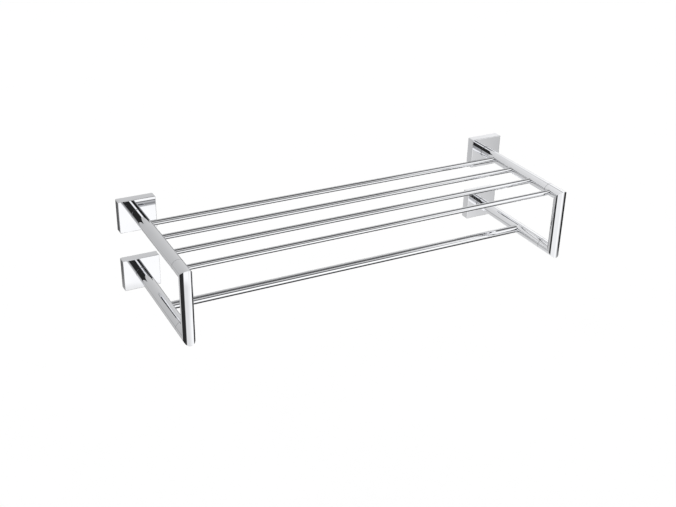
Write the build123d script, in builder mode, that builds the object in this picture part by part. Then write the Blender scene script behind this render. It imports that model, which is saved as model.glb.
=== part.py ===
from build123d import *
import os

# Wall towel rack: a shelf of four rails over a towel bar, between two side frames of round tube.
# Millimetres, +Z up, +Y into the wall. The origin is on the wall, midway between the four rosettes.

# Side frames
arm_spacing = 600.0
arm_rise = 94.0
post_reach = 212.0
tube_diameter = 18.0
tube_wall = 1.5
seam_setback = 27.0
seam_chamfer = 0.3

# Shelf rails and towel bar
rail_reaches = [48.0, 97.0, 146.0, 195.0]
rail_diameter = 8.0
bar_reach = 123.0
bar_diameter = 12.0
rod_wall = 1.0
socket_depth = 3.0
socket_gap = 0.05

# Rosettes
rosette_width = 55.0
rosette_height = 49.0
rosette_depth = 13.5
rosette_wall = 2.5
rosette_corner = 1.2
rosette_edge = 0.8

# Wall brackets, folded from plate
plate_thickness = 2.5
plate_width = 38.0
plate_bend = 1.5
lip_depth = 8.0
lower_lip_drop = 17.0
screw_hole_diameter = 5.0
screw_hole_spacing = 24.0

# Grub screws that lock the rosettes on the brackets
grub_diameter = 5.0
grub_recess = 0.8
grub_setback = 5.5
grub_key = 2.5
grub_key_depth = 2.5
boss_width = 10.0
boss_height = 2.5

# Screws and plugs that hold the arms to the rosettes
arm_screw_diameter = 6.0
arm_screw_length = 15.0
arm_screw_head = 11.0
arm_screw_head_height = 3.5
arm_screw_key = 4.0
arm_screw_key_depth = 2.0
plug_length = 18.0

# Spigots inside the front seams
spigot_length = 38.0
spigot_chamfer = 0.6
fit_gap = 0.05

tube_radius = tube_diameter / 2
bore_radius = tube_radius - tube_wall
rail_radius = rail_diameter / 2
bar_radius = bar_diameter / 2
half_spacing = arm_spacing / 2
half_rise = arm_rise / 2
rosette_face = rosette_depth - rosette_wall
seam_reach = post_reach - seam_setback
rod_end = half_spacing - bore_radius + socket_depth

SIDES = {"left": -1, "right": 1}
LEVELS = {"upper": 1, "lower": -1}
CORNERS = [(level, side) for level in LEVELS for side in SIDES]


def axis_plane(level, side, reach):
    """A plane across an arm at a distance from the wall, looking away from the wall."""
    origin = (SIDES[side] * half_spacing, -reach, LEVELS[level] * half_rise)
    return Plane(origin=origin, x_dir=(1, 0, 0), z_dir=(0, -1, 0))


def inner_side(level, side, reach):
    """A plane on the side of an arm that faces the other side frame, for drilling towards the arm's axis."""
    inward = -SIDES[side]
    x = SIDES[side] * half_spacing + inward * tube_radius
    return Plane(origin=(x, -reach, LEVELS[level] * half_rise), x_dir=(0, 1, 0), z_dir=(inward, 0, 0))


def rods_in(level):
    """The reach and radius of each rail or bar that enters the arms of one level."""
    if level == "lower":
        return [(bar_reach, bar_radius)]
    return [(reach, rail_radius) for reach in rail_reaches]


def save(name, piece):
    """Labels a finished piece and writes it."""
    piece.part.label = name
    export_step(piece.part, f"parts/{name}.step")


def make_rosette(level, side):
    """A nearly square cover, hollow behind, with the arm screw's hole and a boss for the grub screw."""
    with BuildPart() as rosette:
        with BuildSketch(axis_plane(level, side, 0)):
            Rectangle(rosette_width, rosette_height)
        extrude(amount=rosette_depth)
        back = rosette.faces().sort_by(Axis.Y)[-1]
        offset(amount=-rosette_wall, openings=back)
        corners = rosette.edges().filter_by(Axis.Y).group_by(SortBy.LENGTH)[-1]
        fillet(corners, rosette_corner)
        front = rosette.faces().sort_by(Axis.Y)[0]
        fillet(front.edges(), rosette_edge)
        with BuildSketch(axis_plane(level, side, plate_thickness)):
            with Locations((0, -(rosette_height / 2 - rosette_wall) + boss_height / 2)):
                Rectangle(boss_width, boss_height)
        extrude(amount=rosette_face - plate_thickness)
        with Locations(axis_plane(level, side, rosette_depth)):
            Hole(arm_screw_diameter / 2 + socket_gap, depth=rosette_wall)
        underside = LEVELS[level] * half_rise - rosette_height / 2
        below = Plane(origin=(SIDES[side] * half_spacing, -grub_setback, underside), z_dir=(0, 0, -1))
        with Locations(below):
            Hole(grub_diameter / 2, depth=rosette_wall + boss_height)
    return rosette


def make_bracket(level, side):
    """A folded plate: the upper lip carries the rosette, and the grub screw bears on the lower lip."""
    x = SIDES[side] * half_spacing
    z = LEVELS[level] * half_rise
    half_plate = plate_thickness / 2
    top = rosette_height / 2 - rosette_wall - half_plate
    bottom = -lower_lip_drop + half_plate
    tip = lip_depth - half_plate
    with BuildPart() as bracket:
        with BuildSketch(Plane(origin=(x, -half_plate, z), x_dir=(0, -1, 0), z_dir=(-1, 0, 0))):
            with BuildLine():
                FilletPolyline(
                    (tip, bottom), (0, bottom), (0, top), (tip, top), radius=plate_bend + half_plate
                )
            trace(line_width=plate_thickness)
        extrude(amount=plate_width / 2, both=True)
        with Locations(axis_plane(level, side, plate_thickness)):
            with GridLocations(screw_hole_spacing, 1, 2, 1):
                Hole(screw_hole_diameter / 2, depth=plate_thickness)
    return bracket


def make_arm(level, side):
    """A tube from the rosette to the front seam, drilled on its inner side for the rails or the bar."""
    with BuildPart() as arm:
        with BuildSketch(axis_plane(level, side, rosette_depth)):
            Circle(tube_radius)
            Circle(bore_radius, mode=Mode.SUBTRACT)
        extrude(amount=seam_reach - rosette_depth)
        rim = arm.edges().filter_by(GeomType.CIRCLE).group_by(Axis.Y)[0].sort_by(SortBy.RADIUS)[-1]
        chamfer(rim, seam_chamfer)
        for reach, radius in rods_in(level):
            if reach < seam_reach:
                with Locations(inner_side(level, side, reach)):
                    Hole(radius + socket_gap, depth=tube_radius)
    return arm


def make_bow(side):
    """The post and its two returns: one tube with mitred corners, drilled for the front rail."""
    x = SIDES[side] * half_spacing
    with BuildPart() as bow:
        with BuildLine():
            Polyline(
                (x, -seam_reach, half_rise),
                (x, -post_reach, half_rise),
                (x, -post_reach, -half_rise),
                (x, -seam_reach, -half_rise),
            )
        with BuildSketch(axis_plane("upper", side, seam_reach)):
            Circle(tube_radius)
            Circle(bore_radius, mode=Mode.SUBTRACT)
        sweep(transition=Transition.RIGHT)
        rims = bow.edges().filter_by(GeomType.CIRCLE).group_by(Axis.Y)[-1].group_by(SortBy.RADIUS)[-1]
        chamfer(rims, seam_chamfer)
        for reach in rail_reaches:
            if reach > seam_reach:
                with Locations(inner_side("upper", side, reach)):
                    Hole(rail_radius + socket_gap, depth=tube_radius)
    return bow


def make_plug(level, side):
    """The threaded plug in the wall end of an arm."""
    with BuildPart() as plug:
        with BuildSketch(axis_plane(level, side, rosette_depth)):
            Circle(bore_radius - fit_gap)
            Circle(arm_screw_diameter / 2, mode=Mode.SUBTRACT)
        extrude(amount=plug_length)
        chamfer(plug.faces().sort_by(Axis.Y)[0].edges().sort_by(SortBy.RADIUS)[-1], spigot_chamfer)
    return plug


def make_spigot(level, side):
    """The dowel across a front seam. The front rail's ends lock the upper two."""
    rear = seam_reach - spigot_length / 2
    with BuildPart() as spigot:
        with BuildSketch(axis_plane(level, side, rear)):
            Circle(bore_radius - fit_gap)
        extrude(amount=spigot_length)
        chamfer(spigot.edges().filter_by(GeomType.CIRCLE), spigot_chamfer)
        for reach, radius in rods_in(level):
            if abs(reach - seam_reach) < spigot_length / 2:
                with Locations(inner_side(level, side, reach)):
                    Hole(radius + socket_gap, depth=tube_wall + socket_depth + socket_gap)
    return spigot


def make_rod(level, reach, radius):
    """A rail or bar: a straight tube whose ends sit in the arms."""
    with BuildPart() as rod:
        with BuildSketch(Plane.YZ.offset(-rod_end)):
            with Locations((-reach, LEVELS[level] * half_rise)):
                Circle(radius)
                Circle(radius - rod_wall, mode=Mode.SUBTRACT)
        extrude(amount=2 * rod_end)
    return rod


def make_arm_screws():
    """The four socket-head screws from inside the rosettes into the arms' plugs."""
    with BuildPart() as screws:
        for level, side in CORNERS:
            seat = axis_plane(level, side, rosette_face)
            with BuildSketch(seat):
                Circle(arm_screw_diameter / 2 - fit_gap)
            extrude(amount=arm_screw_length)
            with BuildSketch(seat):
                Circle(arm_screw_head / 2)
            extrude(amount=-arm_screw_head_height)
            with BuildSketch(seat.offset(-arm_screw_head_height)):
                RegularPolygon(arm_screw_key / 2, 6, major_radius=False)
            extrude(amount=arm_screw_key_depth, mode=Mode.SUBTRACT)
    return screws


def make_grub_screws():
    """The four headless screws in the rosettes' undersides, each bearing on its bracket's lower lip."""
    length = rosette_height / 2 - grub_recess - lower_lip_drop
    with BuildPart() as screws:
        for level, side in CORNERS:
            foot = Plane(
                origin=(
                    SIDES[side] * half_spacing,
                    -grub_setback,
                    LEVELS[level] * half_rise - rosette_height / 2 + grub_recess,
                )
            )
            with BuildSketch(foot):
                Circle(grub_diameter / 2 - fit_gap)
            extrude(amount=length)
            with BuildSketch(foot):
                RegularPolygon(grub_key / 2, 6, major_radius=False)
            extrude(amount=grub_key_depth, mode=Mode.SUBTRACT)
    return screws


os.makedirs("parts", exist_ok=True)

for corner_level, corner_side in CORNERS:
    corner = f"{corner_level}_{corner_side}"
    save(f"rosette_{corner}", make_rosette(corner_level, corner_side))
    save(f"wall_bracket_{corner}", make_bracket(corner_level, corner_side))
    save(f"arm_{corner}", make_arm(corner_level, corner_side))
    save(f"arm_plug_{corner}", make_plug(corner_level, corner_side))
    save(f"seam_spigot_{corner}", make_spigot(corner_level, corner_side))

for bow_side in SIDES:
    save(f"front_bow_{bow_side}", make_bow(bow_side))

for number, rail_reach in enumerate(rail_reaches, start=1):
    save(f"shelf_rail_{number}", make_rod("upper", rail_reach, rail_radius))

save("towel_bar", make_rod("lower", bar_reach, bar_radius))
save("arm_screws", make_arm_screws())
save("grub_screws", make_grub_screws())
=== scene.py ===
"""A chromed wall towel rack: four slim shelf rails and a towel bar between two mitred side frames."""

import math

import bmesh
import bpy
from bpy.props import FloatProperty, FloatVectorProperty, IntProperty, PointerProperty
from mathutils import Matrix, Vector


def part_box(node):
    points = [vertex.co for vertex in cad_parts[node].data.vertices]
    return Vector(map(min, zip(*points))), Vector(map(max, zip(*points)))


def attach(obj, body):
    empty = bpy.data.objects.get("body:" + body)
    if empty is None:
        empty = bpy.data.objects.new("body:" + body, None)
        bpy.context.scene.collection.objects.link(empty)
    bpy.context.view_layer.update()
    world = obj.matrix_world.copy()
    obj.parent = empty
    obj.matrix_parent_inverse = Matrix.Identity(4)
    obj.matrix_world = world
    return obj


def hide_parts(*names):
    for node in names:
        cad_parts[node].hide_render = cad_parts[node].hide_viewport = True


bl_info = {
    "name": "Towel rack",
    "version": (1, 0, 0),
    "blender": (4, 5, 0),
    "location": "View3D > Sidebar > Towel rack",
    "description": "Builds a chromed towel rack with a rail shelf around its CAD frame",
    "category": "Object",
}

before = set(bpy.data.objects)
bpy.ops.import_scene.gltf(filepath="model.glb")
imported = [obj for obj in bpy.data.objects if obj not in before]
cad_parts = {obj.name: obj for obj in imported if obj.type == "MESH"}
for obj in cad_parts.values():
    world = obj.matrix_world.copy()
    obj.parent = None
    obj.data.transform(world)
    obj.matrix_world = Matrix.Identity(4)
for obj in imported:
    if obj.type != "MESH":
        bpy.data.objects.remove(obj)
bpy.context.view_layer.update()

SIDES = ("left", "right")
CORNERS = [f"{level}_{side}" for level in ("upper", "lower") for side in SIDES]
RAILS = [f"shelf_rail_{number}" for number in (1, 2, 3, 4)]
BODY = "root"

AXIS_X = Vector((1, 0, 0))
AXIS_Y = Vector((0, 1, 0))
AXIS_Z = Vector((0, 0, 1))
MERGE_DISTANCE = 1e-7
SHARP_ANGLE = math.radians(35)
PLATE_EDGE_ANGLE = math.radians(60)
FLAT_FACE_WEIGHT = 100
FINE_STEPS = 2
HEXAGON = 6
FLOOR_CELLS = 8
SENSOR_WIDTH = 36.0


def middle(name):
    """The centre of a CAD node's box."""
    low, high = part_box(name)
    return (low + high) / 2


def extent(name):
    """The lengths of a CAD node's box."""
    low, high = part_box(name)
    return high - low


def length_value(label, text, default):
    """A length that a user may change, in metres."""
    return FloatProperty(name=label, description=text, default=default, unit="LENGTH", precision=5)


def share_value(label, text, default):
    """A share from 0 to 1 that a user may change."""
    return FloatProperty(
        name=label, description=text, default=default, min=0.0, max=1.0, subtype="FACTOR"
    )


def colour_value(label, text, default):
    """A linear colour that a user may change."""
    return FloatVectorProperty(
        name=label, description=text, default=default, size=3, min=0.0, max=1.0, subtype="COLOR"
    )


class RackSizes(bpy.types.PropertyGroup):
    """The sizes that the CAD frame's boxes don't show."""

    tube_wall: length_value("Tube wall", "Wall of the side frames' tube", 0.0015)
    rod_wall: length_value("Rail wall", "Wall of the rails and the towel bar", 0.001)
    socket_gap: length_value("Socket gap", "Play around a rail in the arm's socket", 0.00005)
    socket_band: length_value("Socket band", "Plain tube kept either side of a socket", 0.001)
    seam_chamfer: length_value("Seam chamfer", "Chamfer on each edge of a front seam", 0.0003)
    root_chamfer: length_value("Root chamfer", "Chamfer of an arm's end at the rosette", 0.0008)
    mitre_round: length_value("Mitre round", "Polished-off edge of a mitred corner", 0.00012)
    rod_chamfer: length_value("Rail chamfer", "Broken edge at the ends of rails and bar", 0.0003)
    rosette_wall: length_value("Rosette wall", "Wall of the hollow rosettes", 0.0025)
    rosette_corner: length_value("Rosette corner", "Rounding of the rosette's four corners", 0.0012)
    rosette_edge: length_value("Rosette edge", "Rounding of the rosette's front edges", 0.0008)
    rosette_inside: length_value("Rosette inside", "Rounding of the edges inside a rosette", 0.0005)
    boss_width: length_value("Boss width", "Width of the boss for the grub screw", 0.010)
    boss_height: length_value("Boss height", "Height of the boss for the grub screw", 0.0025)
    plate: length_value("Bracket plate", "Thickness of the folded wall bracket", 0.0025)
    plate_bend: length_value("Bracket bend", "Inner radius of the bracket's two folds", 0.0015)
    plate_edge: length_value("Bracket edge", "Tumbled edge of the bracket plate", 0.0003)
    wall_hole: length_value("Wall hole", "Diameter of the holes for the wall screws", 0.005)
    wall_hole_spacing: length_value("Wall hole spacing", "Distance between the two wall holes", 0.024)
    arm_screw: length_value("Arm screw", "Diameter of the screws that hold the arms", 0.0059)
    arm_screw_head: length_value("Arm screw head", "Height of the arm screws' heads", 0.0035)
    arm_screw_hole: length_value("Arm screw hole", "Diameter of the hole for an arm screw", 0.0061)
    arm_screw_key: length_value("Arm screw key", "Width across flats of the arm screws' socket", 0.004)
    arm_screw_key_depth: length_value("Arm screw key depth", "Depth of the arm screws' socket", 0.002)
    grub_key: length_value("Grub screw key", "Width across flats of the grub screws' socket", 0.0025)
    grub_key_depth: length_value("Grub screw key depth", "Depth of the grub screws' socket", 0.0025)
    grub_hole: length_value("Grub screw hole", "Diameter of the threaded hole in a rosette", 0.005)
    screw_chamfer: length_value("Screw chamfer", "Broken edges of the screws", 0.0004)
    tube_sides: IntProperty(name="Tube sides", description="Flats round a side frame tube", default=96)
    rod_sides: IntProperty(name="Rail sides", description="Flats round a rail, bar or screw", default=64)
    round_steps: IntProperty(name="Rounding steps", description="Flats across a rounded edge", default=4)


class RackFinish(bpy.types.PropertyGroup):
    """The colours and roughness of the rack's metals."""

    chrome: colour_value("Chrome", "Polished chrome plating", (0.933, 0.94, 0.962))
    chrome_haze: colour_value("Chrome haze", "Chrome where its polish is clouded", (0.908, 0.915, 0.938))
    chrome_roughness: share_value("Chrome roughness", "Roughness of polished chrome", 0.02)
    # The seam colour is painted shade: dark chamfers stand in for the shadowed gap where the parts meet,
    # over dull plating.
    seam: colour_value("Seam line", "Dull plating in the chamfers at the arms' ends", (0.16, 0.16, 0.17))
    seam_roughness: share_value("Seam roughness", "Roughness in the chamfers at the arms' ends", 0.45)
    inside: colour_value("Inside plating", "Thin plating inside the rosettes", (0.62, 0.62, 0.63))
    inside_roughness: share_value("Inside roughness", "Roughness inside the rosettes", 0.42)
    zinc: colour_value("Bracket zinc", "Bright zinc on the wall brackets", (0.60, 0.62, 0.64))
    zinc_flower: colour_value("Zinc flower", "Paler crystals in the zinc", (0.74, 0.75, 0.76))
    zinc_roughness: share_value("Zinc roughness", "Roughness of the zinc", 0.36)
    brass: colour_value("Brass", "Turned brass of plugs and spigots", (0.80, 0.60, 0.30))
    brass_dark: colour_value("Aged brass", "Brass where it has tarnished", (0.62, 0.43, 0.19))
    brass_roughness: share_value("Brass roughness", "Roughness of turned brass", 0.28)
    screw: colour_value("Screw steel", "Stainless steel of the screws", (0.58, 0.575, 0.57))
    screw_roughness: share_value("Screw roughness", "Roughness of the screws", 0.30)


class RackStudio(bpy.types.PropertyGroup):
    """The camera, the floor and the soft light."""

    camera_place: FloatVectorProperty(
        name="Camera place",
        description="Where the camera stands",
        default=(-0.66897, -1.32757, 0.67517),
        size=3,
        subtype="TRANSLATION",
        unit="LENGTH",
    )
    camera_turn: FloatProperty(
        name="Camera turn",
        description="Heading of the view from straight at the wall towards the right",
        default=math.radians(27.844),
        subtype="ANGLE",
    )
    camera_dip: FloatProperty(
        name="Camera dip",
        description="How far the camera looks down",
        default=math.radians(27.096),
        subtype="ANGLE",
    )
    camera_roll: FloatProperty(
        name="Camera roll",
        description="Roll of the camera about its line of sight",
        default=math.radians(1.325),
        subtype="ANGLE",
    )
    focal_length: FloatProperty(
        name="Focal length",
        description="In millimetres, on a sensor 36 mm wide",
        default=54.845,
        unit="CAMERA",
    )
    floor_drop: length_value("Floor drop", "Height of the rack's origin above the floor", 1.2)
    floor_width: length_value("Floor width", "Side of the square floor", 40.0)
    floor_colour: colour_value("Floor colour", "Pale floor", (0.97, 0.97, 0.97))
    soft_light: FloatProperty(name="Soft light", description="Level of the even light", default=1.03)
    gleam: FloatProperty(
        name="Gleam", description="Level of the white that the metal mirrors", default=1.05
    )
    wall_gleam: FloatProperty(
        name="Wall gleam",
        description="Level of the grey that the metal mirrors from the wall's side",
        default=0.57,
    )


# Meshes


def lathe(bm, outline, centre, axis, side, steps):
    """Turns a closed outline of (radius, station along the axis) points about an axis."""
    verts = [bm.verts.new(centre + side * radius + axis * station) for radius, station in outline]
    edges = [bm.edges.new(pair) for pair in zip(verts, verts[1:] + verts[:1])]
    bmesh.ops.spin(
        bm, geom=verts + edges, cent=centre, axis=axis, angle=math.tau, steps=steps, use_merge=True
    )
    bmesh.ops.remove_doubles(bm, verts=bm.verts, dist=MERGE_DISTANCE)
    bmesh.ops.dissolve_degenerate(bm, edges=bm.edges, dist=MERGE_DISTANCE)
    bmesh.ops.recalc_face_normals(bm, faces=bm.faces)


def draw_out(bm, ring, matrix):
    """Extrudes a ring of edges, moves the new ring and returns its edges."""
    grown = bmesh.ops.extrude_edge_only(bm, edges=ring)["geom"]
    verts = [part for part in grown if isinstance(part, bmesh.types.BMVert)]
    bmesh.ops.transform(bm, matrix=matrix, verts=verts)
    new = set(verts)
    return list({edge for vert in verts for edge in vert.link_edges if new.issuperset(edge.verts)})


def run(edge):
    """The way from one end of an edge to the other."""
    return edge.verts[0].co - edge.verts[1].co


def add_block(bm, low, high):
    """Adds a box between two corners."""
    matrix = Matrix.Translation((low + high) / 2) @ Matrix.Diagonal((high - low).to_4d())
    bmesh.ops.create_cube(bm, size=1.0, matrix=matrix)


def add_rod(bm, start, end, radius, sides):
    """Adds a closed cylinder or prism between two points."""
    along = end - start
    turn = along.to_track_quat("Z", "Y").to_matrix().to_4x4()
    bmesh.ops.create_cone(
        bm,
        cap_ends=True,
        segments=sides,
        radius1=radius,
        radius2=radius,
        depth=along.length,
        matrix=Matrix.Translation((start + end) / 2) @ turn,
    )


def round_edges(bm, edges, radius, steps):
    """Bevels edges round."""
    bmesh.ops.bevel(
        bm, geom=edges, offset=radius, segments=steps, profile=0.5, affect="EDGES", material=-1
    )


def stand_in(bm, name):
    """A scene object made from a bmesh, which is freed."""
    mesh = bpy.data.meshes.new(name)
    bm.to_mesh(mesh)
    bm.free()
    obj = bpy.data.objects.new(name, mesh)
    bpy.context.scene.collection.objects.link(obj)
    return obj


def carve(bm, cutter, operation):
    """Cuts a solid cutter from a bmesh, or joins it on, and returns the result as a new bmesh."""
    body = stand_in(bm, "carved_body")
    tool = stand_in(cutter, "carving_tool")
    cut = body.modifiers.new("Carve", "BOOLEAN")
    cut.object = tool
    cut.operation = operation
    cut.solver = "EXACT"
    result = bmesh.new()
    result.from_object(body, bpy.context.evaluated_depsgraph_get())
    for obj in (body, tool):
        mesh = obj.data
        bpy.data.objects.remove(obj)
        bpy.data.meshes.remove(mesh)
    if not result.faces:
        raise RuntimeError(f"{operation} left nothing")
    return result


def make_piece(bm, name, nodes, slot, *materials):
    """Finishes a bmesh as a piece of the rack that stands for its CAD nodes."""
    for face in bm.faces:
        face.smooth = True
    for edge in bm.edges:
        edge.smooth = edge.calc_face_angle(0.0) < SHARP_ANGLE
    piece = stand_in(bm, name)
    for material in materials:
        piece.data.materials.append(material)
    flats = piece.modifiers.new("Flat faces", "WEIGHTED_NORMAL")
    flats.mode = "FACE_AREA"
    flats.weight = FLAT_FACE_WEIGHT
    flats.keep_sharp = True
    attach(piece, BODY)
    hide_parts(*nodes)


# Materials


def node(tree, kind, **inputs):
    """Adds a shader node and sets or links its inputs."""
    made = tree.nodes.new(kind)
    for name, value in inputs.items():
        feed(tree, made.inputs[name.replace("_", " ")], value)
    return made


def feed(tree, socket, value):
    """Links a socket to another, or sets its value."""
    if isinstance(value, bpy.types.NodeSocket):
        tree.links.new(value, socket)
    else:
        socket.default_value = value


def calc(tree, operation, first, second=0.0):
    """A Math node's result."""
    made = tree.nodes.new("ShaderNodeMath")
    made.operation = operation
    feed(tree, made.inputs[0], first)
    feed(tree, made.inputs[1], second)
    return made.outputs[0]


def remap(tree, value, from_low, from_high, to_low, to_high, kind="LINEAR"):
    """A value carried from one range to another."""
    made = tree.nodes.new("ShaderNodeMapRange")
    made.interpolation_type = kind
    for socket, given in zip(made.inputs[:5], (value, from_low, from_high, to_low, to_high)):
        feed(tree, socket, given)
    return made.outputs[0]


def blend(tree, share, first, second):
    """A mix of two colours."""
    made = tree.nodes.new("ShaderNodeMix")
    made.data_type = "RGBA"
    feed(tree, made.inputs["Factor"], share)
    feed(tree, made.inputs["A"], (*first, 1.0))
    feed(tree, made.inputs["B"], (*second, 1.0))
    return made.outputs["Result"]


def metal(name):
    """Turns a function that sets up a metal's nodes into one that gives the metal, made only once."""

    def decorate(set_up):
        def finished():
            if name not in bpy.data.materials:
                material = bpy.data.materials.new(name)
                material.use_nodes = True
                tree = material.node_tree
                tree.nodes.clear()
                shader = node(tree, "ShaderNodeBsdfPrincipled", Metallic=1.0)
                output = node(tree, "ShaderNodeOutputMaterial")
                tree.links.new(shader.outputs["BSDF"], output.inputs["Surface"])
                place = node(tree, "ShaderNodeTexCoord").outputs["Object"]
                set_up(bpy.context.scene.rack_finish, tree, shader, place)
            return bpy.data.materials[name]

        return finished

    return decorate


def shaded(colour, share):
    """A colour made darker or paler."""
    return tuple(min(1.0, share * part) for part in colour)


def grain(tree, place, scale, detail, stretch=(1.0, 1.0, 1.0)):
    """Noise on the object's own coordinates, drawn out along its axes."""
    drawn = node(tree, "ShaderNodeMapping", Vector=place, Scale=stretch).outputs["Vector"]
    return node(tree, "ShaderNodeTexNoise", Vector=drawn, Scale=scale, Detail=detail).outputs["Fac"]


def emboss(tree, shader, height, strength, distance):
    """A bump from a height."""
    bump = node(tree, "ShaderNodeBump", Height=height, Strength=strength, Distance=distance)
    tree.links.new(bump.outputs["Normal"], shader.inputs["Normal"])


# The values of a noise between which a finish changes
NOISE_SPAN = (0.3, 0.7)
HAZE_SPAN = (0.42, 0.7)
TARNISH_SPAN = (0.4, 0.75)


def vary_roughness(tree, shader, noise, level, least, most):
    """Lets a noise vary a metal's roughness between two shares of its level."""
    rough = remap(tree, noise, *NOISE_SPAN, to_low=least * level, to_high=most * level)
    feed(tree, shader.inputs["Roughness"], rough)


@metal("polished_chrome")
def chrome(finish, tree, shader, place):
    """Polished chrome: nearly a mirror, with a faint haze and the slow ripple of the polishing."""
    clouds = grain(tree, place, scale=38.0, detail=4.0)
    haze = remap(tree, clouds, *HAZE_SPAN, to_low=0.0, to_high=1.0, kind="SMOOTHSTEP")
    feed(tree, shader.inputs["Base Color"], blend(tree, haze, finish.chrome, finish.chrome_haze))
    hairlines = grain(tree, place, scale=900.0, detail=2.0, stretch=(0.12, 1.0, 1.0))
    hazy = remap(tree, haze, 0.0, 1.0, to_low=0.7, to_high=1.3)
    brushed = remap(tree, hairlines, *NOISE_SPAN, to_low=0.8, to_high=1.3)
    rough = calc(tree, "MULTIPLY", calc(tree, "MULTIPLY", hazy, brushed), finish.chrome_roughness)
    feed(tree, shader.inputs["Roughness"], rough)
    ripple = grain(tree, place, scale=55.0, detail=1.0)
    emboss(tree, shader, ripple, strength=0.05, distance=0.0002)


@metal("painted_seam_shade")
def painted_seam_shade(finish, tree, shader, place):
    """Painted shade of the gap where an arm meets its bow and its rosette, on dull, thinly plated
    chamfers.
    """
    turning = grain(tree, place, scale=1600.0, detail=3.0)
    pale = shaded(finish.seam, 1.5)
    feed(tree, shader.inputs["Base Color"], blend(tree, turning, finish.seam, pale))
    vary_roughness(tree, shader, turning, finish.seam_roughness, least=0.8, most=1.2)
    emboss(tree, shader, turning, strength=0.2, distance=0.0001)


@metal("inside_plating")
def inside_plating(finish, tree, shader, place):
    """The thin plating over the cast grain inside a rosette."""
    cast = grain(tree, place, scale=700.0, detail=5.0)
    dull = shaded(finish.inside, 0.78)
    feed(tree, shader.inputs["Base Color"], blend(tree, cast, dull, finish.inside))
    vary_roughness(tree, shader, cast, finish.inside_roughness, least=0.8, most=1.2)
    emboss(tree, shader, cast, strength=0.35, distance=0.0002)


@metal("bracket_zinc")
def bracket_zinc(finish, tree, shader, place):
    """Zinc-plated plate: small crystals, rolling lines and a soft sheen."""
    crystals = node(tree, "ShaderNodeTexVoronoi", Vector=place, Scale=420.0).outputs["Color"]
    pick = node(tree, "ShaderNodeSeparateColor", Color=crystals).outputs["Red"]
    feed(tree, shader.inputs["Base Color"], blend(tree, pick, finish.zinc, finish.zinc_flower))
    rolling = grain(tree, place, scale=1100.0, detail=3.0, stretch=(1.0, 1.0, 0.08))
    vary_roughness(tree, shader, rolling, finish.zinc_roughness, least=0.8, most=1.25)
    emboss(tree, shader, rolling, strength=0.2, distance=0.0001)


@metal("turned_brass")
def turned_brass(finish, tree, shader, place):
    """Brass bar: fine turning rings along the arm's axis, and some tarnish."""
    stains = grain(tree, place, scale=160.0, detail=5.0)
    tarnish = remap(tree, stains, *TARNISH_SPAN, to_low=0.0, to_high=1.0)
    feed(tree, shader.inputs["Base Color"], blend(tree, tarnish, finish.brass, finish.brass_dark))
    rings = grain(tree, place, scale=2400.0, detail=1.0, stretch=(0.02, 1.0, 0.02))
    vary_roughness(tree, shader, rings, finish.brass_roughness, least=0.8, most=1.3)
    emboss(tree, shader, rings, strength=0.25, distance=0.0001)


@metal("stainless_screws")
def screw_steel(finish, tree, shader, place):
    """Stainless screws: a fine even grain with darker specks."""
    specks = grain(tree, place, scale=1500.0, detail=4.0)
    dark = shaded(finish.screw, 0.7)
    feed(tree, shader.inputs["Base Color"], blend(tree, specks, dark, finish.screw))
    vary_roughness(tree, shader, specks, finish.screw_roughness, least=0.8, most=1.2)
    emboss(tree, shader, specks, strength=0.15, distance=0.0001)


def floor_paint():
    """Matt pale paint with the faintest unevenness."""
    studio = bpy.context.scene.rack_studio
    material = bpy.data.materials.new("floor_paint")
    material.use_nodes = True
    tree = material.node_tree
    shader = tree.nodes["Principled BSDF"]
    place = node(tree, "ShaderNodeTexCoord").outputs["Object"]
    uneven = grain(tree, place, scale=3.0, detail=2.0)
    paler = shaded(studio.floor_colour, 1.01)
    feed(tree, shader.inputs["Base Color"], blend(tree, uneven, studio.floor_colour, paler))
    shader.inputs["Roughness"].default_value = 1.0
    shader.inputs["Specular IOR Level"].default_value = 0.0
    return material


# Pieces


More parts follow.
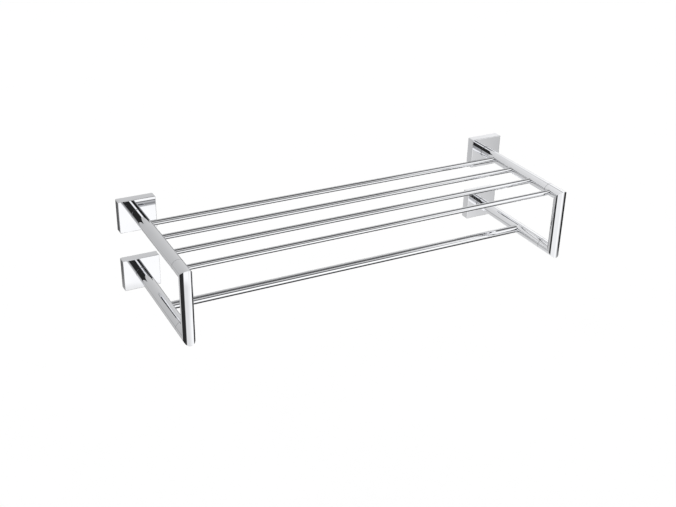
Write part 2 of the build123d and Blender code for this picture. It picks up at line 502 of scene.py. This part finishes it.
class RACK_OT_rosettes(bpy.types.Operator):
    """Make the four rosettes, nearly square and hollow behind, with their screw holes"""

    bl_idname = "rack.rosettes"
    bl_label = "Rosettes"

    def execute(self, context):
        for corner in CORNERS:
            self.make(context.scene.rack_sizes, corner)
        return {"FINISHED"}

    def make(self, sizes, corner):
        """One rosette: a rounded block, hollowed from behind, with a boss inside and two holes."""
        name = f"rosette_{corner}"
        low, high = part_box(name)
        centre = middle(name)
        wall = sizes.rosette_wall
        face_y = low.y + wall
        cavity_low = Vector((low.x + wall, face_y, low.z + wall))
        cavity_high = Vector((high.x - wall, high.y + wall, high.z - wall))

        bm = bmesh.new()
        add_block(bm, low, high)
        half_depth = extent(name).y / 2
        corner_edges = [edge for edge in bm.edges if abs(run(edge).y) > half_depth]
        round_edges(bm, corner_edges, sizes.rosette_corner, sizes.round_steps)
        front_edges = [
            edge for edge in bm.edges
            if all(vert.co.y < low.y + MERGE_DISTANCE for vert in edge.verts)
        ]
        round_edges(bm, front_edges, sizes.rosette_edge, sizes.round_steps)

        hollow = bmesh.new()
        add_block(hollow, cavity_low, cavity_high)
        inner_edges = [
            edge for edge in hollow.edges
            if any(vert.co.y < face_y + MERGE_DISTANCE for vert in edge.verts)
        ]
        round_edges(hollow, inner_edges, sizes.rosette_inside, sizes.round_steps)
        bm = carve(bm, hollow, "DIFFERENCE")

        half_boss = sizes.boss_width / 2
        boss_low = Vector((centre.x - half_boss, face_y - wall / 2, low.z + wall / 2))
        boss_high = Vector((centre.x + half_boss, -sizes.plate, cavity_low.z + sizes.boss_height))
        boss = bmesh.new()
        add_block(boss, boss_low, boss_high)
        bm = carve(bm, boss, "UNION")

        axis = Vector((centre.x, 0.0, centre.z))
        arm_hole = bmesh.new()
        add_rod(
            arm_hole,
            axis + AXIS_Y * (low.y - wall),
            axis + AXIS_Y * (face_y + wall),
            sizes.arm_screw_hole / 2,
            sizes.rod_sides,
        )
        bm = carve(bm, arm_hole, "DIFFERENCE")
        foot = Vector((centre.x, middle("grub_screws").y, low.z))
        grub_hole = bmesh.new()
        add_rod(
            grub_hole,
            foot - AXIS_Z * wall,
            foot + AXIS_Z * (2 * wall + sizes.boss_height),
            sizes.grub_hole / 2,
            sizes.rod_sides,
        )
        bm = carve(bm, grub_hole, "DIFFERENCE")

        slack = wall / 10
        for face in bm.faces:
            point = face.calc_center_median()
            inside_x = cavity_low.x - slack < point.x < cavity_high.x + slack
            inside_z = cavity_low.z - slack < point.z < cavity_high.z + slack
            face.material_index = int(inside_x and inside_z and point.y > face_y - slack)
        make_piece(bm, f"{name}_cover", [name], "chrome", chrome(), inside_plating())


class RACK_OT_brackets(bpy.types.Operator):
    """Make the four folded wall brackets"""

    bl_idname = "rack.brackets"
    bl_label = "Wall brackets"

    def execute(self, context):
        for corner in CORNERS:
            self.make(context.scene.rack_sizes, corner)
        return {"FINISHED"}

    def make(self, sizes, corner):
        """One bracket: a plate whose upper and lower edges are folded forward, with two holes."""
        name = f"wall_bracket_{corner}"
        low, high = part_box(name)
        centre = middle(name)

        bm = bmesh.new()
        at_wall = Matrix.Translation((centre.x, high.y, centre.z))
        on_edge = Matrix.Rotation(math.pi / 2, 4, "X")
        half_size = Matrix.Diagonal((extent(name).x / 2, extent(name).z / 2, 1.0, 1.0))
        bmesh.ops.create_grid(
            bm, x_segments=1, y_segments=1, size=1.0, matrix=at_wall @ on_edge @ half_size
        )
        folds = [edge for edge in bm.edges if abs(run(edge).z) < MERGE_DISTANCE]
        for fold in folds:
            draw_out(bm, [fold], Matrix.Translation((0.0, low.y - high.y, 0.0)))
        round_edges(bm, folds, sizes.plate_bend + sizes.plate, 2 * sizes.round_steps)
        bmesh.ops.recalc_face_normals(bm, faces=bm.faces)
        towards_wall = max(bm.faces, key=lambda face: face.calc_area())
        if towards_wall.normal.y < 0:
            bmesh.ops.reverse_faces(bm, faces=bm.faces)
        bmesh.ops.solidify(bm, geom=bm.faces, thickness=sizes.plate)
        bmesh.ops.recalc_face_normals(bm, faces=bm.faces)

        holes = bmesh.new()
        for sign in (-1, 1):
            point = centre + AXIS_X * sign * sizes.wall_hole_spacing / 2
            point.z = middle(f"rosette_{corner}").z
            point.y = high.y
            add_rod(
                holes,
                point + AXIS_Y * sizes.plate,
                point - AXIS_Y * 2 * sizes.plate,
                sizes.wall_hole / 2,
                sizes.rod_sides,
            )
        bm = carve(bm, holes, "DIFFERENCE")
        outline = [
            edge for edge in bm.edges
            if len(edge.link_faces) == 2 and edge.calc_face_angle() > PLATE_EDGE_ANGLE
        ]
        round_edges(bm, outline, sizes.plate_edge, FINE_STEPS)
        make_piece(bm, f"{name}_plate", [name], "bracket_steel", bracket_zinc())


# Shares of a normal along Y between which a face counts as a chamfer
LEAST_SLOPE, MOST_SLOPE = 0.1, 0.9
# Where the drilling of a socket starts, as a share of the tube's distance from the rack's middle
DRILL_START = 0.9


def paint_seam_shade(bm, seam_y, chamfer):
    """Gives the chamfered faces at a seam the second material, whose dark colour is painted shade of the
    joint's gap.
    """
    for face in bm.faces:
        at_seam = abs(face.calc_center_median().y - seam_y) < chamfer
        if at_seam and LEAST_SLOPE < abs(face.normal.y) < MOST_SLOPE:
            face.material_index = 1


def rods_of(corner):
    """The rails or the bar that enter the arms of one level."""
    return RAILS if corner.startswith("upper") else ["towel_bar"]


def socket_cutter(sizes, rods, centre):
    """Cylinders that drill one side frame's tube for its rods, from its inner side to its axis."""
    cutter = bmesh.new()
    for rod in rods:
        start = Vector((DRILL_START * centre.x, middle(rod).y, middle(rod).z))
        end = Vector((centre.x, middle(rod).y, middle(rod).z))
        add_rod(cutter, start, end, extent(rod).y / 2 + sizes.socket_gap, sizes.rod_sides)
    return cutter


class RACK_OT_arms(bpy.types.Operator):
    """Make the four arm tubes, with sockets for the rails or the towel bar"""

    bl_idname = "rack.arms"
    bl_label = "Arms"

    def execute(self, context):
        for corner in CORNERS:
            self.make(context.scene.rack_sizes, corner)
        return {"FINISHED"}

    def make(self, sizes, corner):
        """One arm: a turned tube, plain around each socket, drilled for its rods."""
        name = f"arm_{corner}"
        low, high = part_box(name)
        radius = extent(name).x / 2
        bore = radius - sizes.tube_wall
        centre = middle(name)
        centre.y = 0.0
        rods = [rod for rod in rods_of(corner) if low.y < middle(rod).y < high.y]

        outline = [
            (bore, high.y),
            (radius - sizes.root_chamfer, high.y),
            (radius, high.y - sizes.root_chamfer),
        ]
        for rod in sorted(rods, key=lambda each: -middle(each).y):
            reach = extent(rod).y / 2 + sizes.socket_band
            outline += [(radius, middle(rod).y + reach), (radius, middle(rod).y - reach)]
        outline += [
            (radius, low.y + sizes.seam_chamfer),
            (radius - sizes.seam_chamfer, low.y),
            (bore, low.y),
        ]
        for rod in sorted(rods, key=lambda each: middle(each).y):
            reach = extent(rod).y / 2 + sizes.socket_band
            outline += [(bore, middle(rod).y - reach), (bore, middle(rod).y + reach)]
        bm = bmesh.new()
        lathe(bm, outline, centre, AXIS_Y, AXIS_Z, sizes.tube_sides)
        bm = carve(bm, socket_cutter(sizes, rods, centre), "DIFFERENCE")
        # The chamfers at the seam and at the root get the painted shade of the joints' gaps.
        paint_seam_shade(bm, low.y, sizes.seam_chamfer)
        paint_seam_shade(bm, high.y, sizes.root_chamfer)
        make_piece(bm, f"{name}_tube", [name], "chrome", chrome(), painted_seam_shade())


class RACK_OT_bows(bpy.types.Operator):
    """Make the two front bows: a post with a mitred return at the top and the bottom"""

    bl_idname = "rack.bows"
    bl_label = "Front bows"

    def execute(self, context):
        for side in SIDES:
            self.make(context.scene.rack_sizes, side)
        return {"FINISHED"}

    def make(self, sizes, side):
        """One bow: a ring drawn round both mitres outside and back through the bore, then drilled."""
        name = f"front_bow_{side}"
        low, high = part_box(name)
        radius = extent(name).x / 2
        bore = radius - sizes.tube_wall
        x = middle(name).x
        post_y = low.y + radius
        rise = high.z - radius
        seam_y = high.y

        def ring(ring_radius, y, z, lean, up):
            """The place of a ring whose upper side leans outwards by a share of its height."""
            across = Vector((ring_radius, 0.0, 0.0, 0.0))
            height = Vector((0.0, -lean * ring_radius, up * ring_radius, 0.0))
            along = Vector((0.0, up, lean, 0.0))
            return Matrix((across, height, along, Vector((x, y, z, 1.0)))).transposed()

        chamfer = sizes.seam_chamfer
        upper_mitre = ring(radius, post_y, rise, 1, 1)
        lower_mitre = ring(radius, post_y, -rise, 1, -1)
        outside = [
            ring(radius - chamfer, seam_y, rise, 0, 1),
            ring(radius, seam_y - chamfer, rise, 0, 1),
            upper_mitre,
            lower_mitre,
            ring(radius, seam_y - chamfer, -rise, 0, -1),
            ring(radius - chamfer, seam_y, -rise, 0, -1),
        ]
        inside = [
            ring(bore, seam_y, -rise, 0, -1),
            ring(bore, post_y, -rise, 1, -1),
            ring(bore, post_y, rise, 1, 1),
            ring(bore, seam_y, rise, 0, 1),
        ]
        stations = outside + inside
        bm = bmesh.new()
        start = bmesh.ops.create_circle(bm, segments=sizes.tube_sides, radius=1.0, matrix=stations[0])
        edges = list({edge for vert in start["verts"] for edge in vert.link_edges})
        mitres = []
        for before, after in zip(stations, stations[1:] + stations[:1]):
            edges = draw_out(bm, edges, after @ before.inverted())
            if after in (upper_mitre, lower_mitre):
                mitres += edges
        round_edges(bm, mitres, sizes.mitre_round, FINE_STEPS)
        bmesh.ops.remove_doubles(bm, verts=bm.verts, dist=MERGE_DISTANCE)
        bmesh.ops.recalc_face_normals(bm, faces=bm.faces)

        rods = [rod for rod in RAILS if middle(rod).y < seam_y]
        bm = carve(bm, socket_cutter(sizes, rods, Vector((x, 0.0, 0.0))), "DIFFERENCE")
        # The seam's chamfers get the painted shade of the joint's gap.
        paint_seam_shade(bm, seam_y, chamfer)
        make_piece(bm, f"{name}_tube", [name], "chrome", chrome(), painted_seam_shade())


class RACK_OT_rods(bpy.types.Operator):
    """Make the four shelf rails and the towel bar"""

    bl_idname = "rack.rods"
    bl_label = "Rails and bar"

    def execute(self, context):
        for name in [*RAILS, "towel_bar"]:
            self.make(context.scene.rack_sizes, name)
        return {"FINISHED"}

    def make(self, sizes, name):
        """One rail or the bar: a tube with broken edges."""
        low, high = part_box(name)
        radius = extent(name).y / 2
        bore = radius - sizes.rod_wall
        chamfer = sizes.rod_chamfer
        centre = middle(name)
        outline = [
            (bore, low.x),
            (radius - chamfer, low.x),
            (radius, low.x + chamfer),
            (radius, high.x - chamfer),
            (radius - chamfer, high.x),
            (bore, high.x),
        ]
        bm = bmesh.new()
        lathe(bm, outline, centre, AXIS_X, AXIS_Z, sizes.rod_sides)
        make_piece(bm, f"{name}_tube", [name], "chrome", chrome())


class RACK_OT_screws(bpy.types.Operator):
    """Make the arm screws and the grub screws, with their hexagon sockets"""

    bl_idname = "rack.screws"
    bl_label = "Screws"

    def execute(self, context):
        sizes = context.scene.rack_sizes
        arm_screws = bmesh.new()
        grub_screws = bmesh.new()
        for corner in CORNERS:
            centre = middle(f"rosette_{corner}")
            self.add_arm_screw(arm_screws, sizes, centre)
            self.add_grub_screw(grub_screws, sizes, centre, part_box(f"rosette_{corner}")[0].z)
        make_piece(arm_screws, "arm_screws_turned", ["arm_screws"], "screw_steel", screw_steel())
        make_piece(grub_screws, "grub_screws_turned", ["grub_screws"], "screw_steel", screw_steel())
        return {"FINISHED"}

    def add_arm_screw(self, bm, sizes, centre):
        """One socket-head screw, pointing away from the wall."""
        low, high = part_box("arm_screws")
        tip, top = low.y, high.y
        axis = Vector((centre.x, 0.0, centre.z))
        shank = sizes.arm_screw / 2
        head = high.z - centre.z if centre.z > 0 else centre.z - low.z
        seat = top - sizes.arm_screw_head
        chamfer = sizes.screw_chamfer
        outline = [
            (0.0, tip),
            (shank - chamfer, tip),
            (shank, tip + chamfer),
            (shank, seat),
            (head, seat),
            (head, top - chamfer),
            (head - chamfer, top),
            (0.0, top),
        ]
        screw = bmesh.new()
        lathe(screw, outline, axis, AXIS_Y, AXIS_Z, sizes.rod_sides)
        key = bmesh.new()
        add_rod(
            key,
            axis + AXIS_Y * (top - sizes.arm_screw_key_depth),
            axis + AXIS_Y * (top + sizes.arm_screw_key_depth),
            sizes.arm_screw_key / math.sqrt(3),
            HEXAGON,
        )
        self.join(bm, carve(screw, key, "DIFFERENCE"))

    def add_grub_screw(self, bm, sizes, centre, underside):
        """One headless screw, upright in a rosette's underside, with its socket below."""
        low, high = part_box("grub_screws")
        radius = (high.y - low.y) / 2
        recess = low.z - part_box("rosette_lower_left")[0].z
        length = high.z - (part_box("rosette_upper_left")[0].z + recess)
        foot = Vector((centre.x, (low.y + high.y) / 2, underside + recess))
        chamfer = sizes.screw_chamfer
        outline = [
            (0.0, 0.0),
            (radius - chamfer, 0.0),
            (radius, chamfer),
            (radius, length - chamfer),
            (radius - chamfer, length),
            (0.0, length),
        ]
        screw = bmesh.new()
        lathe(screw, outline, foot, AXIS_Z, AXIS_X, sizes.rod_sides)
        key = bmesh.new()
        add_rod(
            key,
            foot - AXIS_Z * sizes.grub_key_depth,
            foot + AXIS_Z * sizes.grub_key_depth,
            sizes.grub_key / math.sqrt(3),
            HEXAGON,
        )
        self.join(bm, carve(screw, key, "DIFFERENCE"))

    def join(self, bm, part):
        """Adds a finished screw to its group."""
        mesh = bpy.data.meshes.new("screw")
        part.to_mesh(mesh)
        part.free()
        bm.from_mesh(mesh)
        bpy.data.meshes.remove(mesh)


class RACK_OT_inner_brass(bpy.types.Operator):
    """Give the hidden plugs and spigots their turned brass"""

    bl_idname = "rack.inner_brass"
    bl_label = "Plugs and spigots"

    def execute(self, context):
        for corner in CORNERS:
            for name in (f"arm_plug_{corner}", f"seam_spigot_{corner}"):
                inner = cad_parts[name]
                inner.data.materials.clear()
                inner.data.materials.append(turned_brass())
        return {"FINISHED"}


# Stage


class RACK_OT_stage(bpy.types.Operator):
    """Set up the camera, the floor and the light"""

    bl_idname = "rack.stage"
    bl_label = "Stage"

    def execute(self, context):
        context.scene.view_settings.view_transform = "Standard"
        self.place_camera(context.scene)
        self.lay_floor(context.scene.rack_studio)
        light_world(context.scene)
        return {"FINISHED"}

    def place_camera(self, scene):
        """Sets the camera by its place, turn, dip and roll."""
        studio = scene.rack_studio
        lens = bpy.data.cameras.new("camera")
        lens.lens = studio.focal_length
        lens.sensor_width = SENSOR_WIDTH
        camera = bpy.data.objects.new("camera", lens)
        camera.matrix_world = (
            Matrix.Translation(studio.camera_place)
            @ Matrix.Rotation(-studio.camera_turn, 4, "Z")
            @ Matrix.Rotation(math.pi / 2 - studio.camera_dip, 4, "X")
            @ Matrix.Rotation(studio.camera_roll, 4, "Z")
        )
        scene.collection.objects.link(camera)
        scene.camera = camera

    def lay_floor(self, studio):
        """Lays a pale floor well below the rack, which the metal doesn't mirror."""
        bm = bmesh.new()
        bmesh.ops.create_grid(
            bm,
            x_segments=FLOOR_CELLS,
            y_segments=FLOOR_CELLS,
            size=studio.floor_width / 2,
            matrix=Matrix.Translation((0.0, 0.0, -studio.floor_drop)),
        )
        floor = stand_in(bm, "floor")
        floor.data.materials.append(floor_paint())
        floor.visible_glossy = False


# How far a direction points to the wall where the grey of the wall's side starts, and where it is full
WALL_GREY_STARTS, WALL_GREY_FULL = 0.606, 0.812
# From where on, towards the wall, the right is paler than the left, and by how much
WALL_TILT_STARTS, WALL_TILT = 0.5, 0.17
# Glossy bounces between the first mirroring and the second
SECOND_BOUNCE = 1.5

# The studio's flags, which only the metal mirrors. A flag spans one measure of direction and then
# a second one, each from a limit to a limit with the softness of that edge. Then come its tone,
# which is pale above 1, and the mirroring that shows it. Heading is the angle in degrees from the
# wall round to the right, seen from above. Roll and rise are the angles upwards in the plane across
# the rails, from the wall and from the front. The rest are parts of the direction itself.
ONCE, AGAIN = 1, 2
FLAGS = [
    # Low on the left, as the posts and the rosettes' sides mirror it
    ("heading", (-132, 8), (-44, 6), "z", (-0.66, 0.01), (-0.455, 0.006), 0.025, ONCE),
    ("heading", (-99, 3), (-60, 4), "z", (-0.455, 0.006), (-0.28, 0.02), 0.03, ONCE),
    ("heading", (-60, 5), (-37, 5), "z", (-0.455, 0.01), (-0.29, 0.03), 0.54, ONCE),
    ("heading", (-60, 5), (-30, 5), "z", (-0.29, 0.03), (-0.15, 0.03), 0.68, ONCE),
    ("heading", (-16.5, 2.5), (-12, 2.5), "z", (-0.48, 0.02), (-0.385, 0.02), 0.15, ONCE),
    # Low in front, as the posts mirror it
    ("heading", (-400, 1), (-136, 6), "z", (-0.66, 0.01), (-0.478, 0.004), 0.77, ONCE),
    ("heading", (150, 30), (400, 1), "z", (-0.66, 0.01), (-0.478, 0.004), 0.80, ONCE),
    ("heading", (-400, 1), (-105, 6), "z", (-0.455, 0.006), (-0.28, 0.02), 0.88, ONCE),
    ("heading", (130, 10), (152, 5), "z", (-0.455, 0.006), (-0.28, 0.02), 0.85, ONCE),
    # Low on the right, as the posts and the right rosettes' edges mirror it
    ("heading", (42, 4), (98, 5), "z", (-0.665, 0.01), (-0.448, 0.01), 0.03, ONCE),
    ("heading", (42, 5), (131, 4), "z", (-0.448, 0.015), (-0.18, 0.02), 0.02, ONCE),
    # Over and under the rack, as the rails and the bar mirror it
    ("rise", (104, 4), (138, 4), "x", (0.23, 0.045), (0.80, 0.12), 0.24, ONCE),
    ("rise", (80, 4), (104, 4), "x", (0.23, 0.045), (0.80, 0.12), 0.01, ONCE),
    ("rise", (61, 5), (80, 4), "x", (0.23, 0.045), (0.49, 0.03), 0.02, ONCE),
    ("rise", (61, 5), (80, 4), "x", (0.49, 0.03), (0.80, 0.12), 0.45, ONCE),
    ("rise", (43, 5), (61, 5), "x", (0.17, 0.05), (0.48, 0.035), 0.85, ONCE),
    ("rise", (9, 5), (43, 5), "x", (0.17, 0.03), (0.48, 0.035), 0.25, ONCE),
    ("rise", (7, 4), (31, 4), "x", (0.17, 0.03), (0.53, 0.03), 0.40, ONCE),
    ("rise", (-22, 4), (4, 3), "x", (0.29, 0.02), (0.58, 0.03), 1.15, ONCE),
    ("rise", (-108, 5), (-44, 4), "x", (0.175, 0.05), (0.60, 0.06), 0.04, ONCE),
    # Behind the rack on the right, as the left arms' inner edges mirror it
    ("heading", (17, 3), (31, 3), "z", (-0.46, 0.02), (-0.02, 0.03), 0.22, ONCE),
    # A pale card high on the right, as the right rosettes' tops mirror it
    ("heading", (30, 4), (60, 4), "z", (0.20, 0.05), (0.55, 0.05), 1.15, ONCE),
    # In front of the wall, as the rosettes mirror it into the arms
    ("rise", (-23, 15), (56, 3), "x", (-0.643, 0.06), (-0.016, 0.03), 0.02, AGAIN),
    ("rise", (-36, 2), (-15, 5), "x", (-0.37, 0.04), (0.03, 0.04), 0.70, AGAIN),
    ("rise", (-16, 6), (33, 4), "x", (0.228, 0.03), (0.547, 0.026), 0.03, AGAIN),
    ("rise", (36, 1.5), (40, 1.5), "x", (0.20, 0.03), (0.38, 0.03), 0.30, AGAIN),
    ("heading", (137.5, 1.5), (142.5, 1.5), "z", (-0.25, 0.03), (0.0, 0.03), 0.04, AGAIN),
    ("rise", (62, 4), (400, 1), "x", (-0.62, 0.04), (-0.15, 0.04), 0.06, AGAIN),
    ("rise", (-400, 1), (-55, 5), "x", (-0.62, 0.04), (-0.15, 0.04), 0.06, AGAIN),
    # On the left, as the rails and the bar mirror it into the right arms
    ("rise", (-120, 20), (-27, 3), "x", (-0.85, 0.03), (-0.60, 0.02), 0.04, AGAIN),
    ("rise", (-7, 3), (4, 4), "x", (-0.85, 0.03), (-0.60, 0.03), 0.04, AGAIN),
    ("rise", (46, 4), (140, 15), "x", (-0.85, 0.03), (-0.53, 0.03), 0.04, AGAIN),
    # On the right, as the rails mirror it into one another, into the left arms and into the left rosette
    ("rise", (-400, 1), (400, 1), "x", (0.235, 0.01), (0.56, 0.02), 0.50, AGAIN),
    ("rise", (-20, 8), (75, 15), "x", (0.235, 0.01), (0.27, 0.008), 0.45, AGAIN),
    # In front on the right, as the right rosettes and the arms' undersides mirror it
    ("rise", (-36, 3.5), (-6.5, 4), "x", (0.533, 0.045), (0.80, 0.03), 0.61, ONCE),
    ("heading", (-60, 4), (11, 5), "z", (-0.76, 0.03), (-0.51, 0.04), 0.82, ONCE),
    # Over, under and beside the rack, for the views from the other sides
    ("roll", (56, 5), (95, 6), "x", (-0.95, 0.05), (0.20, 0.04), 0.22, ONCE),
    ("roll", (95, 6), (135, 5), "x", (-0.95, 0.05), (0.17, 0.04), 0.45, ONCE),
    ("rise", (4, 3), (48, 4), "x", (-0.95, 0.05), (0.17, 0.04), 0.60, ONCE),
    ("roll", (-137, 5), (-94, 5), "x", (-0.55, 0.05), (0.175, 0.05), 0.15, ONCE),
    ("heading", (-158, 10), (-62, 8), "z", (-0.28, 0.02), (0.30, 0.10), 0.22, ONCE),
    ("heading", (58, 8), (132, 8), "z", (-0.18, 0.02), (0.30, 0.10), 0.22, ONCE),
]


def soft_range(tree, value, start, end):
    """1 between two limits and 0 outside them, with a soft edge at each."""
    (low, low_edge), (high, high_edge) = start, end
    rise = remap(tree, value, low - low_edge, low + low_edge, 0.0, 1.0, "SMOOTHSTEP")
    fall = remap(tree, value, high - high_edge, high + high_edge, 1.0, 0.0, "SMOOTHSTEP")
    return calc(tree, "MULTIPLY", rise, fall)


def light_world(scene):
    """White all round for the camera, and even soft light. Metal also mirrors the studio's flags."""
    studio = scene.rack_studio
    world = bpy.data.worlds.new("studio")
    world.use_nodes = True
    scene.world = world
    tree = world.node_tree
    tree.nodes.clear()
    toward = node(tree, "ShaderNodeTexCoord").outputs["Generated"]
    parts = node(tree, "ShaderNodeSeparateXYZ", Vector=toward).outputs
    x, y, z = parts["X"], parts["Y"], parts["Z"]
    measures = {
        "x": x,
        "z": z,
        "heading": calc(tree, "DEGREES", calc(tree, "ARCTAN2", x, y)),
        "roll": calc(tree, "DEGREES", calc(tree, "ARCTAN2", z, y)),
        "rise": calc(tree, "DEGREES", calc(tree, "ARCTAN2", z, calc(tree, "MULTIPLY", y, -1.0))),
    }
    rays = node(tree, "ShaderNodeLightPath").outputs
    again = calc(tree, "GREATER_THAN", rays["Glossy Depth"], SECOND_BOUNCE)
    mirrorings = {ONCE: calc(tree, "SUBTRACT", 1.0, again), AGAIN: again}

    to_wall = remap(tree, y, WALL_GREY_STARTS, WALL_GREY_FULL, 0.0, 1.0)
    shade = remap(tree, to_wall, 0.0, 1.0, studio.gleam, studio.wall_gleam)
    tilted = calc(tree, "GREATER_THAN", y, WALL_TILT_STARTS)
    tilt = calc(tree, "MULTIPLY", tilted, calc(tree, "MULTIPLY", x, WALL_TILT))
    shade = calc(tree, "MULTIPLY", shade, calc(tree, "ADD", 1.0, tilt))
    for along, start, end, across, near, far, tone, mirroring in FLAGS:
        inside = calc(
            tree, "MULTIPLY",
            soft_range(tree, measures[along], start, end),
            soft_range(tree, measures[across], near, far),
        )
        inside = calc(tree, "MULTIPLY", inside, mirrorings[mirroring])
        shade = calc(tree, "MULTIPLY", shade, remap(tree, inside, 0.0, 1.0, 1.0, tone))

    seen = calc(tree, "MAXIMUM", rays["Is Camera Ray"], rays["Is Transmission Ray"])
    mirrored = calc(tree, "MAXIMUM", seen, calc(tree, "MULTIPLY", rays["Is Glossy Ray"], shade))
    shown = calc(tree, "MAXIMUM", seen, rays["Is Glossy Ray"])
    lit = calc(tree, "MULTIPLY", calc(tree, "SUBTRACT", 1.0, shown), studio.soft_light)
    strength = calc(tree, "ADD", mirrored, lit)
    background = node(tree, "ShaderNodeBackground", Strength=strength)
    background.inputs["Color"].default_value = (1.0, 1.0, 1.0, 1.0)
    output = node(tree, "ShaderNodeOutputWorld")
    tree.links.new(background.outputs["Background"], output.inputs["Surface"])


OPERATORS = (
    RACK_OT_rosettes,
    RACK_OT_brackets,
    RACK_OT_arms,
    RACK_OT_bows,
    RACK_OT_rods,
    RACK_OT_screws,
    RACK_OT_inner_brass,
    RACK_OT_stage,
)


class RACK_PT_panel(bpy.types.Panel):
    """Lists the rack's pieces"""

    bl_idname = "RACK_PT_panel"
    bl_label = "Towel rack"
    bl_space_type = "VIEW_3D"
    bl_region_type = "UI"
    bl_category = "Towel rack"

    def draw(self, context):
        for operator in OPERATORS:
            self.layout.operator(operator.bl_idname)


PROPERTY_GROUPS = (RackSizes, RackFinish, RackStudio)
CLASSES = (*PROPERTY_GROUPS, *OPERATORS, RACK_PT_panel)


def register():
    for each in CLASSES:
        bpy.utils.register_class(each)
    bpy.types.Scene.rack_sizes = PointerProperty(type=RackSizes)
    bpy.types.Scene.rack_finish = PointerProperty(type=RackFinish)
    bpy.types.Scene.rack_studio = PointerProperty(type=RackStudio)


def unregister():
    del bpy.types.Scene.rack_studio
    del bpy.types.Scene.rack_finish
    del bpy.types.Scene.rack_sizes
    for each in reversed(CLASSES):
        bpy.utils.unregister_class(each)


def main():
    """Builds the rack and its stage."""
    register()
    bpy.ops.rack.rosettes()
    bpy.ops.rack.brackets()
    bpy.ops.rack.arms()
    bpy.ops.rack.bows()
    bpy.ops.rack.rods()
    bpy.ops.rack.screws()
    bpy.ops.rack.inner_brass()
    bpy.ops.rack.stage()


if __name__ == "__main__":
    main()
